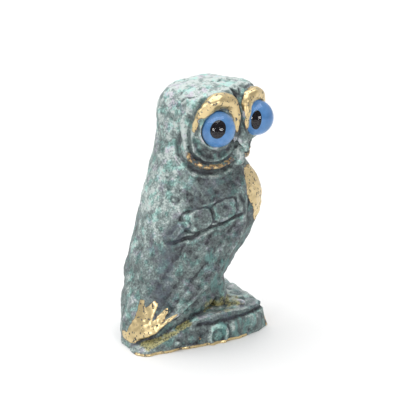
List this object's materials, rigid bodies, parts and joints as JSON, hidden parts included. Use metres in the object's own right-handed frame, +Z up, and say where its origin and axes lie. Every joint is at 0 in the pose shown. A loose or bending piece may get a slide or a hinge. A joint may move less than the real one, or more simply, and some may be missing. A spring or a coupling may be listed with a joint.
{
  "type": "owl statue",
  "caption": "Small patinated owl cast in one with its wedge base, standing in profile with its head turned to the side and round blue glass eyes.",
  "frame": {"origin": "middle of the base's flat underside", "axes": "+X the way the owl's body faces, from tail to breast; -Y the side the head is turned to; +Z up"},
  "size_m": [0.0269, 0.0197, 0.0433],
  "materials": {
    "patinated_bronze": "green-grey patina with rubbed bright high spots",
    "blue_glass": "polished"
  },
  "bodies": {
    "root": {"owl_casting": "patinated_bronze", "glass_eye_right": "blue_glass", "glass_eye_left": "blue_glass"}
  },
  "joints": []
}
